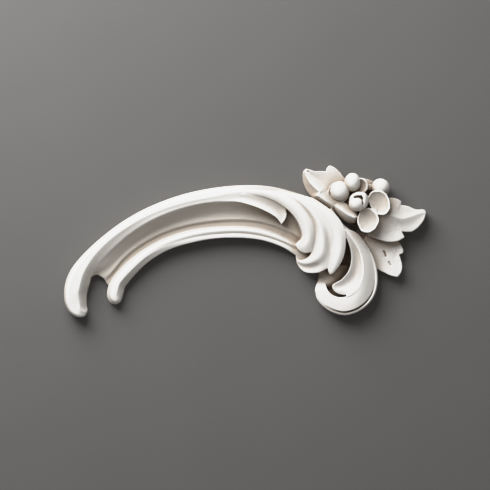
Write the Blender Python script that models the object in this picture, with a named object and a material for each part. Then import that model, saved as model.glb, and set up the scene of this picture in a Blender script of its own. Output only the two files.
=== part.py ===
"""A cast plaster relief ornament with a flat back, to be fixed to a wall panel.

A C-shaped scroll moulding, forked at its lower end, turns into an acanthus leaf at its upper end. A volute,
a flower with a berry, and three small leaves grow out of the acanthus. It is one casting, so it is one solid.

The drawing is seen from the front, x to the right and z up, on a grid whose squares are about a millimetre.
A rail is a line of the carving: points (x, z, share), where the share is the point's height off the back as a
share of its form's height. A point given twice in a rail is a sharp corner.
The front faces -Y, the back is the plane y = 0, and the origin is on the back behind the flower.
"""

import math

import bmesh
import bpy
from mathutils import Matrix, Vector
from mathutils.geometry import interpolate_bezier

MM = 0.001

# The ornament's length, from the long prong to the tip of the side leaf, real and on the drawing
LENGTH = 362.0
DRAWN_LENGTH = 362.0

# Heights off the back, in millimetres
RIM_HEIGHT = 17.0
RIM_WALL_HEIGHT = 9.5
SHOULDER_HEIGHT = 16.0
HOLLOW_HEIGHT = 9.4
COVE_HEIGHT = 6.0
STEP_HEIGHT = 6.8
GROOVE_HEIGHT = 4.4
FILLET_HEIGHT = 6.6
BEAD_HEIGHT = 12.0
LIP_HEIGHT = 11.0
CURL_HEIGHT = 18.0
ACANTHUS_HEIGHT = 21.6
ACANTHUS_FLOOR = 8.4
VOLUTE_HEIGHT = 20.4
VOLUTE_LIP_HEIGHT = 11.6
VOLUTE_FLOOR = 2.5
WEB_HEIGHT = 11.0
UPPER_LEAF_HEIGHT = 19.4
SIDE_LEAF_HEIGHT = 14.8
LOWER_LEAF_HEIGHT = 10.2
LEAF_FLOOR = 4.0
FLOWER_HEIGHT = 25.0

# Widths, in millimetres
STEP_WIDTH = 2.2
VOLUTE_LIP_WIDTH = 3.5
PETAL_THICKNESS = 2.4

# Facets: their length along a rail, in millimetres, and their number round a ball or a petal
FACET = 6.5
ROUND_FACETS = 16

# How far the forms run on behind the back before the back is cut flat, in millimetres
CUT = 2.0

# The middle of the flower on the drawing
FLOWER_X = 112.5
FLOWER_Z = 43.0

# The outer edge of the C: round the tip of the long prong from its heel, then over the top
HEEL = (-157.7, -65.5)
LONG_TIP = [(-160, -70.7), (-165, -72.3), (-171, -71), (-176.5, -66.5)]
OUTER = [
    (-180, -58.5), (-181, -50), (-180.2, -40), (-176, -28), (-169, -17.5), (-157, -4.5), (-140, 10.5),
    (-120, 25), (-95, 38.5), (-65, 49.7), (-35, 56.5), (-5, 59.6), (25, 58.5), (55, 51), (75, 43),
]

# The lines of the moulding inside that edge: how far inside it they run, up to its last station, and their
# heights, as shares of their own height, at even distances along them
CREST = (
    [14.5, 14.7, 15, 14, 11.8, 8.8, 7.2, 7, 7.2, 8, 8.6, 6.5, 7, 8, 9],
    [0.88, 0.96, 1, 1, 1, 1, 0.94, 0.7],
)
SHOULDER = (
    [21.3, 22.3, 23, 22.8, 20, 17.5, 15.5, 14, 13, 13, 13.7, 16.8, 18, 19, 20],
    [0.47, 0.49, 0.66, 0.85, 0.99, 1, 0.88, 0.56],
)
HOLLOW = ([21.5, 19.5, 18.4, 17.6, 17.8, 19, 21, 23, 25, 27], [1, 1, 1, 0.92])
COVE = ([27, 25, 23.6, 23, 24, 25.4, 27.6, 29.6, 31.6, 34], [1, 1])
STEP = ([32.3, 29.5, 28.5, 28.5, 30, 32, 33.7, 36, 38.5, 41], [1, 1])
FILLET = ([37.3, 35.5, 35, 35, 36.5, 39, 41.2, 43, 45.5, 48], [1, 1])
BEAD = ([42, 40.5, 39, 39, 40.5, 42.5, 44.6, 46.8, 49, 51], [0.97, 1, 0.98, 0.92])
QUIRK = ([46, 44, 42.4, 42.8, 44.3, 46.2, 48, 50.3, 51.7, 54], [1, 1, 0.88, 0.84, 0.8])
LIP = ([47.4, 45.4, 43.8, 44.2, 45.9, 47.9, 49.6, 51.8, 53.4, 56], [1, 1, 1, 1, 0.96])
INNER = ([52.5, 49.5, 47.5, 47, 48.8, 50.3, 52.4, 54.3, 56, 59], [0.64, 0.85, 1, 1, 0.94])


def spot(x, z, height=0.0):
    """The place of a point of the drawing, in metres."""
    scale = LENGTH / DRAWN_LENGTH
    return Vector(((x - FLOWER_X) * scale, -height, (z - FLOWER_Z) * scale)) * MM


def smooth_run(points):
    """A curve through the points, in Bezier spans whose handles follow the chord of their neighbours."""
    before, after = [points[0]] + points[:-1], points[1:] + [points[-1]]
    ways = [(b - a).normalized() for a, b in zip(before, after)]
    curve = [points[0]]
    for start, end, leaving, arriving in zip(points, points[1:], ways, ways[1:]):
        reach = (end - start).length / 3
        curve += interpolate_bezier(start, start + leaving * reach, end - arriving * reach, end, 12)[1:]
    return curve


def length_of(curve):
    return sum((b - a).length for a, b in zip(curve, curve[1:]))


def evenly(curve, count):
    """COUNT + 1 points at even distances along a curve."""
    reached = [0.0]
    for a, b in zip(curve, curve[1:]):
        reached.append(reached[-1] + (b - a).length)
    found, k = [], 0
    for i in range(count + 1):
        distance = reached[-1] * i / count
        while k < len(curve) - 2 and reached[k + 1] < distance:
            k += 1
        share = (distance - reached[k]) / max(reached[k + 1] - reached[k], 1e-9)
        found.append(curve[k].lerp(curve[k + 1], min(share, 1.0)))
    return found


def runs_of(points):
    """The smooth curves between the sharp corners of a rail."""
    runs = [[points[0]]]
    for last, point in zip(points, points[1:]):
        if (point - last).length < 1e-6:
            runs.append([point])
        else:
            runs[-1].append(point)
    return [smooth_run(run) for run in runs]


def follow(runs, count):
    """COUNT + 1 points along the runs of a rail, one of them at each corner."""
    whole, past, done, found = sum(map(length_of, runs)), 0.0, 0, []
    for k, run in enumerate(runs):
        past += length_of(run)
        reached = count if k == len(runs) - 1 else max(done + 1, round(count * past / whole))
        found += evenly(run, reached - done)[(1 if found else 0):]
        done = reached
    return found


def add_object(name, bm, collection):
    mesh = bpy.data.meshes.new(name)
    bmesh.ops.recalc_face_normals(bm, faces=bm.faces)
    bm.to_mesh(mesh)
    bm.free()
    obj = bpy.data.objects.new(name, mesh)
    collection.objects.link(obj)
    return obj


def close_to_back(bm):
    """Drops walls from the open edge of a front to behind the back, and closes them there."""
    bmesh.ops.remove_doubles(bm, verts=bm.verts, dist=0.05 * MM)
    made = bmesh.ops.extrude_edge_only(bm, edges=[edge for edge in bm.edges if edge.is_boundary])
    for item in made["geom"]:
        if isinstance(item, bmesh.types.BMVert):
            item.co.y = CUT * MM
    bmesh.ops.holes_fill(bm, edges=[edge for edge in bm.edges if edge.is_boundary], sides=0)


def carve(name, collection, height, rails, panels):
    """A form whose front runs from rail to rail. Between two rails lies a panel, (facets across, swell): the
    swell is how far its middle stands over its chord, as a share of its width, or under it if negative."""
    curves = [runs_of([spot(x, z, share * height) for x, z, share in rail]) for rail in rails]
    drawn = [runs_of([Vector((x, z, 0)) for x, z, _ in rail]) for rail in rails]
    along = max(4, math.ceil(max(sum(map(length_of, runs)) for runs in drawn) / FACET))
    lines = [follow(runs, along) for runs in curves]
    places = [(k, i / n) for k, (n, _) in enumerate(panels) for i in range(n)]
    places.append((len(panels) - 1, 1.0))
    bm = bmesh.new()
    bmesh.ops.create_grid(bm, x_segments=along, y_segments=len(places) - 1, size=1)
    for vert in bm.verts:
        i = round((vert.co.x + 1) / 2 * along)
        k, share = places[round((vert.co.y + 1) / 2 * (len(places) - 1))]
        left, right = lines[k][i], lines[k + 1][i]
        width = math.hypot(right.x - left.x, right.z - left.z)
        vert.co = left.lerp(right, share)
        vert.co.y -= 4 * share * (1 - share) * panels[k][1] * width
    close_to_back(bm)
    return add_object(name, bm, collection)


def plate(name, collection, height, outline):
    """A flat ground inside the outline, at one height."""
    bm = bmesh.new()
    bm.faces.new([bm.verts.new(spot(x, z, height)) for x, z in outline])
    close_to_back(bm)
    return add_object(name, bm, collection)


def standing(x, z, height, tilt_x=0, tilt_z=0, stretch=(1, 1, 1)):
    """Stands a shape that opens along its own +Z on the drawing's (x, z, height), facing the front. TILT_X
    and TILT_Z are the degrees by which it then looks towards +x and towards +z."""
    tilt = Matrix.Rotation(math.radians(tilt_x), 4, "Y") @ Matrix.Rotation(math.radians(-tilt_z), 4, "X")
    to_front = Matrix.Rotation(math.radians(90), 4, "X")
    return Matrix.Translation(spot(x, z, height)) @ to_front @ tilt @ Matrix.Diagonal((*stretch, 1))


def ball(name, collection, radius, place):
    bm = bmesh.new()
    size = radius * LENGTH / DRAWN_LENGTH * MM
    facets = round(ROUND_FACETS)
    bmesh.ops.create_uvsphere(bm, u_segments=facets, v_segments=facets // 2, radius=size, matrix=place)
    return add_object(name, bm, collection)


def petal(name, collection, reach, depth, dish, place):
    """A thick petal with a rounded rim, its inside a shallow dish. REACH holds its radii at even bearings
    from its own +x, and its place is the middle of its rim."""
    wall, half, steps = PETAL_THICKNESS / max(reach), PETAL_THICKNESS / 2, 3
    shares = [i / steps for i in range(steps + 1)]
    profile = [(math.sin(math.pi / 2 * k), -depth * math.cos(math.pi / 2 * k)) for k in shares]
    profile.append((1 - wall / 2, half))
    profile += [((1 - wall) * k, -dish * (1 - k ** 2)) for k in reversed(shares)]
    bm = bmesh.new()
    verts = [bm.verts.new((x, 0, z * MM)) for x, z in profile]
    edges = [bm.edges.new(pair) for pair in zip(verts, verts[1:])]
    bmesh.ops.spin(
        bm, geom=verts + edges, axis=(0, 0, 1), cent=(0, 0, 0), angle=math.tau, steps=round(ROUND_FACETS),
        use_merge=True,
    )
    bmesh.ops.remove_doubles(bm, verts=bm.verts, dist=0.001)
    for vert in bm.verts:
        bearing = math.atan2(vert.co.y, vert.co.x) / math.tau % 1 * len(reach)
        before, mix = int(bearing), (1 - math.cos(math.pi * (bearing % 1))) / 2
        radius = reach[before % len(reach)] * (1 - mix) + reach[(before + 1) % len(reach)] * mix
        vert.co.xy *= radius * LENGTH / DRAWN_LENGTH * MM
    bmesh.ops.transform(bm, matrix=place, verts=bm.verts)
    return add_object(name, bm, collection)


def inset(station, distance):
    """The point that lies the distance inside the outer edge of the C at a station."""
    before, here, after = (Vector(OUTER[min(max(station + k, 0), len(OUTER) - 1)]) for k in (-1, 0, 1))
    way = (after - before).normalized()
    return here + Vector((way.y, -way.x)) * distance


def graded(values, share):
    """The value at a share of the way along evenly spaced values."""
    place = share * (len(values) - 1)
    k = max(min(int(place), len(values) - 2), 0)
    return values[k] + (values[min(k + 1, len(values) - 1)] - values[k]) * (place - k)


def inside(rail, distances):
    """A rail moved to the right of its own way, by distances spread evenly over it."""
    points = [Vector((x, z)) for x, z, _ in rail]
    ways = [(b - a).normalized() for a, b in zip([points[0]] + points[:-1], points[1:] + [points[-1]])]
    moved = []
    for k, (point, way) in enumerate(zip(points, ways)):
        distance = graded(distances, k / (len(points) - 1))
        moved.append((point.x + way.y * distance, point.y - way.x * distance, rail[k][2]))
    return moved


def moulding_line(line, height, lead=(), further=0.0, start=0):
    """A rail of the moulding, at heights in millimetres: its lead-in points, then a point for each of its
    stations from START on."""
    distances, shares = line
    rail = list(lead)
    for k in range(start, len(distances)):
        place = inset(len(OUTER) - len(distances) + k, distances[k] + further)
        rail.append((*place, height * graded(shares, k / (len(distances) - 1))))
    return rail


def build_rim(collection):
    wall, top, shoulder = RIM_WALL_HEIGHT, RIM_HEIGHT, SHOULDER_HEIGHT
    heel = (*HEEL, wall)
    outer = [heel] + [(x, z, wall) for x, z in LONG_TIP + OUTER]
    brow_shares = [0.56, 0.85, 0.9, 0.92, 0.93, 0.93, 0.9, 0.82, 0.47]
    brow = [
        (x, z, wall if k == 0 else top * graded(brow_shares, k / (len(outer) - 1)))
        for k, (x, z, _) in enumerate(inside(outer, [0, 2.6, 3.4, 3.6, 3.4, 3]))
    ]
    crest = moulding_line(CREST, top, [heel, (-160.3, -67, 0.71 * top), (-164.6, -63.6, 0.88 * top)])
    inner = moulding_line(SHOULDER, shoulder, [heel, (-158.6, -61, 0.47 * shoulder)])
    return carve("rim", collection, 1, [outer, brow, crest, inner], [(1, 0), (2, 0.03), (2, -0.02)])


def build_cove(collection):
    top, hollow, cove = SHOULDER_HEIGHT, HOLLOW_HEIGHT, COVE_HEIGHT
    step, groove, fillet = STEP_HEIGHT, GROOVE_HEIGHT, FILLET_HEIGHT
    under_rim, at_rim, under_bead, start = -6.0, -0.4, 3.0, 4
    rails = [
        moulding_line(SHOULDER, 0.9 * top, [(-162, -33, 0.4 * top)], further=under_rim, start=start),
        moulding_line(SHOULDER, 0.97 * top, [(-153.4, -31.6, 0.52 * top)], further=at_rim, start=start),
        moulding_line(HOLLOW, hollow, [(-151, -30.1, 0.8 * hollow)]),
        moulding_line(COVE, cove, [(-147.2, -29.8, cove)]),
        moulding_line(STEP, step, [(-141.2, -33.6, 0.86 * step)]),
        moulding_line(STEP, groove, [(-139.3, -37.5, groove)], further=STEP_WIDTH),
        moulding_line(FILLET, 0.96 * fillet, [(-134, -44, 0.92 * fillet)], further=under_bead),
    ]
    return carve("cove", collection, 1, rails, [(1, 0), (1, 0), (1, 0), (1, 0), (1, 0), (2, -0.04)])


def build_bead(collection):
    fillet, bead, lip = FILLET_HEIGHT, BEAD_HEIGHT, LIP_HEIGHT
    heel = (-124.3, -56, fillet)
    round_tip = [
        heel, (-126.3, -58, fillet), (-130.5, -59.4, fillet), (-135.3, -57, fillet), (-137.8, -52, fillet),
        (-138, -47, fillet), (-136.7, -41, fillet),
    ]
    tip_bead = [
        heel, (-128.6, -56.6, 0.87 * bead), (-132.3, -53.5, 0.93 * bead), (-133, -48.5, 0.95 * bead),
        (-131.5, -43, 0.95 * bead),
    ]
    tip_quirk = [
        heel, (-126.6, -54.8, 0.87 * bead), (-128.4, -50.6, 0.98 * bead), (-127.9, -46, bead),
        (-126.4, -41.5, bead),
    ]
    tip_lip = [heel, (-125.7, -54.4, 0.87 * lip), (-126.6, -50.2, 0.96 * lip), (-125.9, -45.4, 0.98 * lip)]
    rails = [
        moulding_line(FILLET, fillet, round_tip),
        moulding_line(BEAD, bead, tip_bead),
        moulding_line(QUIRK, bead, tip_quirk),
        moulding_line(LIP, lip, tip_lip),
        moulding_line(INNER, lip, [heel, (-123, -52, 0.62 * lip), (-121.6, -47, 0.64 * lip)]),
    ]
    return carve("bead", collection, 1, rails, [(3, 0.06), (1, 0), (1, 0), (2, 0)])


def build_curl(collection):
    """The first small lobe of the acanthus, which springs from the rim's inner edge over the cove."""
    upper = [
        (-52, 46, 0.56), (-30, 49.6, 0.74), (-10, 51.2, 0.88), (5, 50.4, 0.93), (17, 47.7, 0.94),
        (30, 42.5, 0.94),
        (37.7, 38.2, 0.94), (40.6, 34, 0.94), (40.6, 29, 0.92), (39.2, 24, 0.9), (36, 20.7, 0.89),
    ]
    lower = [
        (-52, 41, 0.5), (-30, 43.9, 0.72), (-17, 44.2, 0.87), (-5, 42.8, 0.96), (10, 38.4, 1),
        (23, 32, 0.98),
        (31, 25.6, 0.93), (36, 20.7, 0.89),
    ]
    return carve("curl", collection, CURL_HEIGHT, [upper, lower], [(4, -0.13)])


def build_second_lobe(collection):
    """The sweep that leaves the rim and ends in the lobe at the end of the cove."""
    left = [
        (-52, 46, 0.42), (-25, 50, 0.6), (0, 51.7, 0.77), (17, 48.8, 0.83), (30, 44, 0.85),
        (39, 38.4, 0.86),
        (46, 32.4, 0.86), (52, 25, 0.85), (56, 17, 0.83), (57.9, 10.4, 0.81), (57.4, 6.4, 0.78),
        (54.8, 3, 0.74),
        (50.6, 0.6, 0.69),
    ]
    middle = [
        (-52, 49, 0.37), (-10, 54.4, 0.68), (20, 52.6, 0.88), (40, 44.2, 0.94), (54, 33.5, 0.96),
        (62, 21.5, 0.95),
        (64, 11, 0.92), (61.5, 2.5, 0.86), (56.5, -1.2, 0.78), (50.6, 0.6, 0.69),
    ]
    right = [
        (-52, 51, 0.23), (-10, 57, 0.32), (20, 55.6, 0.56), (40, 50, 0.83), (55, 41, 0.89), (66, 29, 0.87),
        (71.2, 19, 0.84), (71.8, 10, 0.81), (70, 1.5, 0.77), (67.6, -5.6, 0.73), (63.4, -8, 0.72),
        (55.8, -6.4, 0.7), (52.2, -3, 0.69), (50.6, 0.6, 0.69),
    ]
    return carve("second_lobe", collection, ACANTHUS_HEIGHT, [left, middle, right], [(3, 0), (3, 0)])


def build_third_lobe(collection):
    """The lobe that runs down the middle and curls to the left, over a hollow."""
    lip = [
        (17, 53, 0.6), (38, 49.5, 0.79), (54, 41, 0.86), (64, 30, 0.85), (68.8, 20, 0.82), (69.4, 10, 0.79),
        (68.2, 1, 0.75), (66.6, -7, 0.71), (63.8, -11.6, 0.67), (59.3, -14.6, 0.61), (55, -15.4, 0.56),
        (51.6, -14.2, 0.53),
    ]
    ridge = [
        (20, 54, 0.6), (42, 50, 0.85), (57, 42, 0.94), (67.6, 32, 0.98), (74, 22, 0.99), (76.8, 12.5, 0.97),
        (77.4, 2, 0.94), (75.8, -7, 0.89), (71.5, -13.6, 0.81), (65, -17, 0.73), (58.5, -17.8, 0.65),
        (53.5, -16.6, 0.58), (51.6, -14.2, 0.53),
    ]
    channel = [
        (25, 54.6, 0.6), (45, 50.2, 0.85), (61, 42.2, 0.95), (73, 31, 0.97), (79.8, 19.3, 0.94),
        (82.5, 8, 0.87),
        (83, -2, 0.83), (81.6, -11.5, 0.8), (77, -18, 0.73), (69.5, -21.2, 0.64), (61.5, -21.9, 0.57),
        (55, -19.2, 0.54), (51.6, -14.2, 0.53),
    ]
    outline = [
        (30, 54.6, 0.6), (50, 49.8, 0.85), (67, 40.4, 0.96), (80, 28, 0.98), (86.6, 14.5, 0.94),
        (88.4, 2, 0.87),
        (87, -9, 0.81), (84.5, -18, 0.77), (82.6, -23, 0.73), (82.6, -23, 0.73), (79, -25, 0.7),
        (74, -27.3, 0.69), (67, -28, 0.66), (60, -27, 0.62), (54.8, -22.8, 0.57), (51.8, -17.5, 0.55),
        (51.6, -14.2, 0.53),
    ]
    ground = [
        (53.5, 1), (58.5, 6), (60, 11), (58.5, 20), (60, 30), (78, 30), (90, 12), (94, -4), (91, -16),
        (85, -22),
        (76, -18), (68, -14), (58, -17.5), (53, -17), (51.4, -13), (51.2, -6),
    ]
    plate("acanthus_ground", collection, ACANTHUS_FLOOR, ground)
    panels = [(2, 0), (2, 0), (2, 0)]
    return carve("third_lobe", collection, ACANTHUS_HEIGHT, [lip, ridge, channel, outline], panels)


def build_fourth_lobe(collection):
    """The lobe along the right of the acanthus, beside the volute."""
    channel = [
        (17, 54.4, 0.56), (45, 49.8, 0.83), (63, 41.5, 0.94), (76, 30, 0.97), (83, 18.6, 0.93),
        (85.2, 7, 0.85),
        (85, -5, 0.81), (83.8, -15, 0.77), (82.8, -22.5, 0.74), (83.5, -27, 0.73), (85, -29.3, 0.72),
    ]
    crest = [
        (20, 55.6, 0.51), (48, 50.3, 0.81), (68, 41, 0.94), (82, 30, 1), (91.3, 17, 1), (94.6, 4, 0.98),
        (93.8, -8, 0.94), (90.5, -18.5, 0.88), (87.3, -25.6, 0.8), (85, -29.3, 0.72),
    ]
    edge = [
        (23, 56.6, 0.46), (38, 54.4, 0.56), (52, 51, 0.65), (63, 48.2, 0.74), (70, 45.6, 0.79),
        (77.5, 40.6, 0.85),
        (85, 35.2, 0.9), (90, 30.6, 0.93), (95.4, 24, 0.94), (99, 17, 0.94), (100.3, 9, 0.92),
        (100.4, 0, 0.89),
        (98.8, -10, 0.86), (95, -19, 0.83), (90.3, -25.5, 0.79), (87.3, -28.6, 0.75), (85, -29.3, 0.72),
    ]
    return carve("fourth_lobe", collection, ACANTHUS_HEIGHT, [channel, crest, edge], [(3, 0), (3, 0.02)])


def build_volute(collection):
    """The strap that curls into the volute, its lip, and the tongue that lies in its eye."""
    edge = [
        (86, 37, 0.83), (92, 28.6, 0.9), (98, 20.6, 0.9), (104, 15.6, 0.83), (111, 12.4, 0.74),
        (119, 4.5, 0.66),
        (126, -6.5, 0.63), (130.7, -18.5, 0.62), (132.7, -31, 0.61), (132, -42.5, 0.62), (128, -53, 0.65),
        (121, -61.3, 0.69), (111.5, -67.3, 0.72), (100, -70.2, 0.72), (88, -67.7, 0.71), (78, -61.5, 0.69),
        (72, -54, 0.67), (70, -45.5, 0.62), (71.4, -39.6, 0.51), (73.6, -35.8, 0.32),
    ]
    ridge = [
        (84, 33, 0.93), (91, 24.5, 1), (98, 16.5, 1), (105, 8.6, 0.97), (111, 0.6, 0.94), (115.2, -8, 0.91),
        (117.5, -17, 0.88), (117.8, -26, 0.87), (116.3, -35, 0.85), (112.5, -43, 0.81), (107, -48.6, 0.76),
        (101.2, -51.4, 0.73), (95, -52.3, 0.71), (89.5, -51, 0.7), (85, -48, 0.68), (82, -43.6, 0.64),
        (80.8, -39.6, 0.53), (80.6, -36.4, 0.32),
    ]
    margins = [0, 0, 0, 0.17, 0.75, 1.1, 1.15, 1.15, 1, 0.4, 0]
    outside = inside(edge, [VOLUTE_LIP_WIDTH * margin for margin in margins])
    carve("strap", collection, VOLUTE_HEIGHT, [ridge, outside], [(5, 0.02)])
    foot = [(x, z, 0.78) for x, z, _ in edge[3:-1]]
    top = [(x, z, 1) for x, z, _ in edge[3:-1]]
    hidden = [(x, z, 0.6) for x, z, _ in edge[3:-1]]
    lip_rails = [
        inside(hidden, [2 * VOLUTE_LIP_WIDTH]),
        inside(foot, [0.83 * VOLUTE_LIP_WIDTH]),
        inside(top, [0.66 * VOLUTE_LIP_WIDTH]),
        inside(top, [0.2 * VOLUTE_LIP_WIDTH]),
        foot,
    ]
    carve("volute_lip", collection, VOLUTE_LIP_HEIGHT, lip_rails, [(1, 0), (1, 0), (1, 0), (1, 0)])
    left = [
        (93, 22, 0.88), (99.6, 10, 0.93), (103.3, 2, 0.9), (105.6, -6, 0.85), (106.2, -14, 0.82),
        (104.9, -22, 0.81),
        (101.5, -29, 0.79), (96.3, -34.8, 0.76), (90.5, -38, 0.72), (87.3, -40.8, 0.66), (88.5, -45, 0.64),
        (93, -48.4, 0.67), (101, -51.2, 0.75),
    ]
    right = [
        (99, 22, 0.88), (106, 10.6, 0.99), (111.8, 2, 0.97), (116.4, -7.4, 0.93), (118.8, -17, 0.9),
        (119.4, -26, 0.88), (117.8, -35.6, 0.87), (113.6, -44, 0.83), (107.6, -49.8, 0.79),
        (101, -51.2, 0.75),
    ]
    carve("tongue", collection, VOLUTE_HEIGHT, [left, right], [(4, -0.12)])
    floor = [
        (97, 20), (106, 4), (109, -15), (107, -40), (104, -53), (88, -52.4), (79.4, -44), (76, -37.4),
        (74, -31),
        (75, -22), (92, -20), (96, 0), (90, 18),
    ]
    plate("volute_ground", collection, VOLUTE_FLOOR, floor)
    web = [
        [(74.2, -22, 0.73), (74.6, -29, 0.59), (73.4, -34.6, 0.6), (73, -41, 0.73)],
        [(79, -20, 1), (79, -29, 0.85), (77.8, -35, 0.87), (76.8, -41, 0.91)],
        [(84.5, -22, 0.64), (83, -30, 0.45), (81.8, -36, 0.45), (80.4, -41, 0.55)],
    ]
    carve("web", collection, WEB_HEIGHT, web, [(1, 0), (1, 0)])


def build_upper_leaf(collection):
    foot = [
        (91, 32.6, 0.7), (83.8, 36.6, 0.69), (77, 40.8, 0.65), (70, 45.4, 0.57), (65, 50.2, 0.41),
        (61, 56.4, 0.28),
        (58.6, 62.6, 0.26), (57.8, 69, 0.26), (58.2, 73.4, 0.41), (61, 76.3, 0.72),
    ]
    low = [
        (94, 35.5, 0.8), (87.6, 39.2, 0.9), (80, 44, 0.97), (72.6, 49.6, 1), (72.6, 49.6, 1),
        (74.6, 53, 0.96),
        (74.6, 53, 0.96), (69.5, 57.6, 0.9), (65, 62.3, 0.85), (62, 67.5, 0.8), (60.8, 72.5, 0.77),
        (61, 76.3, 0.72),
    ]
    rib = [
        (104, 38, 0.72), (95, 46, 0.77), (87, 54, 0.76), (77, 63, 0.68), (68, 69, 0.67),
        (61, 76.3, 0.72),
    ]
    top = [
        (102, 62, 0.8), (98, 68.5, 0.77), (93.5, 74, 0.74), (88.5, 77.9, 0.72), (84.3, 79.3, 0.71),
        (82, 77.2, 0.7),
        (82, 77.2, 0.7), (80.8, 73.4, 0.69), (80.8, 73.4, 0.69), (76, 73.8, 0.7), (70, 73.6, 0.72),
        (65, 75.2, 0.74),
        (61, 76.3, 0.72),
    ]
    rails, panels = [foot, low, rib, top], [(1, 0), (3, -0.04), (3, -0.03)]
    return carve("upper_leaf", collection, UPPER_LEAF_HEIGHT, rails, panels)


def build_side_leaf(collection):
    top = [
        (130, 45, 0.78), (144, 47, 0.77), (151, 46.4, 0.76), (156, 43.7, 0.74), (156, 43.7, 0.74),
        (156, 40, 0.76),
        (156, 40, 0.76), (163, 38.7, 0.76), (171, 35.5, 0.76), (179.3, 35.2, 0.74), (181, 32.5, 0.74),
    ]
    rib = [
        (115, 28, 0.92), (144, 27.8, 0.96), (156, 26.2, 0.95), (166, 28.6, 0.91), (174, 31.4, 0.84),
        (181, 32.5, 0.74),
    ]
    low = [
        (124, 9, 0.95), (131, 6.6, 0.99), (142, 3.4, 1), (153, 4.2, 0.99), (159.4, 7.7, 0.96),
        (159.4, 7.7, 0.96),
        (156.4, 13.6, 0.93), (156.4, 13.6, 0.93), (166, 13.3, 0.89), (173, 17.8, 0.85), (179, 25.5, 0.78),
        (181, 32.5, 0.74),
    ]
    return carve("side_leaf", collection, SIDE_LEAF_HEIGHT, [top, rib, low], [(3, -0.03), (3, -0.06)])


def build_lower_leaf(collection):
    top = [
        (124, 14, 0.78), (140, 9, 0.82), (153, 4, 0.86), (157.5, -3, 0.9), (158.2, -7.5, 0.9),
        (154, -9.6, 0.88),
        (154, -9.6, 0.88), (156, -15, 0.92), (157.2, -22, 0.96), (156, -27.5, 0.98), (152.8, -32, 0.98),
    ]
    rib = [(118, 2, 0.84), (138, -8, 0.86), (146, -17, 0.9), (151, -26, 0.96), (152.8, -32, 0.98)]
    low = [(122, -12, 0.86), (132, -23.3, 0.9), (139, -27.3, 0.96), (146, -30.5, 1), (152.8, -32, 0.98)]
    ground = [(118, 24), (140, 13), (135, -12), (122, -7), (112, 16)]
    plate("leaf_ground", collection, LEAF_FLOOR, ground)
    return carve("lower_leaf", collection, LOWER_LEAF_HEIGHT, [top, rib, low], [(3, -0.05), (3, -0.03)])


def build_flower(collection):
    """Five petals round a bud, with a berry behind them, on a mound."""
    top = FLOWER_HEIGHT
    ball("flower_mound", collection, 1, standing(FLOWER_X + 3, FLOWER_Z, 0, stretch=(26, 24, 0.52 * top)))
    right_reach = [11, 11, 12.1, 12.8, 13.9, 12.7, 9.5, 8.8, 8.8, 11.6, 13, 12.4]
    right_place = standing(133.5, 41.5, 0.86 * top, tilt_x=-6, tilt_z=4)
    petal("right_petal", collection, right_reach, 12, 3.8, right_place)
    lower_reach = [10.6, 10.6, 10.9, 12.9, 13.4, 11.4, 11.2, 11.4, 13, 12.6, 11.2, 10.2]
    lower_place = standing(123, 24.5, 0.9 * top, tilt_x=-4, tilt_z=10)
    petal("lower_petal", collection, lower_reach, 14, 3, lower_place)
    outer = [
        (87.8, 39.6, 0.6), (90.2, 34, 0.54), (94.5, 28.4, 0.52), (100, 24, 0.52), (106, 21.8, 0.52),
        (110.6, 22.8, 0.56),
        (112.6, 27, 0.6),
    ]
    rim = [
        (87.8, 39.6, 0.6), (91.4, 38.2, 0.76), (96.4, 35, 0.86), (101, 31.4, 0.9), (106, 28.6, 0.9),
        (110, 27.4, 0.88), (112.6, 28.6, 0.72),
    ]
    inner = [
        (88, 41.6, 0.6), (93, 43, 0.66), (99, 42.4, 0.68), (104, 39, 0.7), (108.4, 35.4, 0.72),
        (112.4, 32.4, 0.64),
    ]
    carve("lower_left_petal", collection, top, [outer, rim, inner], [(3, 0.14), (2, -0.1)])
    left_place = standing(92.9, 52.1, 0.66 * top, tilt_x=-8, tilt_z=-8)
    petal("left_petal", collection, [11.3] * 8, 8, 4, left_place)
    ball("left_petal_dome", collection, 9.5, standing(94, 53.3, 0.68 * top, stretch=(1, 1.02, 0.84)))
    ball("top_petal", collection, 8.8, standing(107.4, 62.6, 0.62 * top, stretch=(0.92, 1.06, 1)))
    ball("top_petal_fold", collection, 7.4, standing(117, 58.6, 0.62 * top, stretch=(0.95, 1.3, 1)))
    ball("berry", collection, 9.3, standing(135.4, 57.1, 0.52 * top))
    ball("berry_stalk", collection, 3.2, standing(124.5, 58, 0.52 * top))
    build_bud(collection)


def build_bud(collection):
    """The bud, with two of its own petals folded round it."""
    top = FLOWER_HEIGHT
    ball("bud_base", collection, 9.6, standing(113, 43, 0.42 * top))
    ball("bud", collection, 8.2, standing(111.7, 41.6, 0.77 * top, stretch=(1, 0.98, 0.95)))
    fold_outer = [
        (103.6, 43, 0.8), (104.4, 47.6, 0.8), (107.6, 51, 0.8), (112.6, 53, 0.8), (117.6, 52.6, 0.8),
    ]
    fold_inner = [
        (107, 44.4, 0.94), (108.6, 46.8, 0.98), (111.4, 48.6, 1), (114.6, 49.4, 1), (117.6, 49.4, 0.96),
    ]
    carve("bud_fold_top", collection, top, [fold_outer, fold_inner], [(3, 0.42)])
    side_outer = [
        (117, 53, 0.8), (121, 50.8, 0.78), (123.2, 46, 0.76), (122.8, 40.4, 0.76), (119.6, 36, 0.76),
    ]
    side_inner = [
        (115.6, 49.8, 0.94), (117.4, 47.4, 1), (117.6, 44, 1.02), (116.8, 40.6, 1), (115.4, 37.4, 0.96),
    ]
    carve("bud_fold_side", collection, top, [side_outer, side_inner], [(3, 0.42)])


def plaster():
    material = bpy.data.materials.new("plaster")
    material.use_nodes = True
    shader = material.node_tree.nodes["Principled BSDF"]
    shader.inputs["Base Color"].default_value = (0.76, 0.73, 0.68, 1)
    shader.inputs["Roughness"].default_value = 0.8
    shader.inputs["Metallic"].default_value = 0.0
    return material


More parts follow.
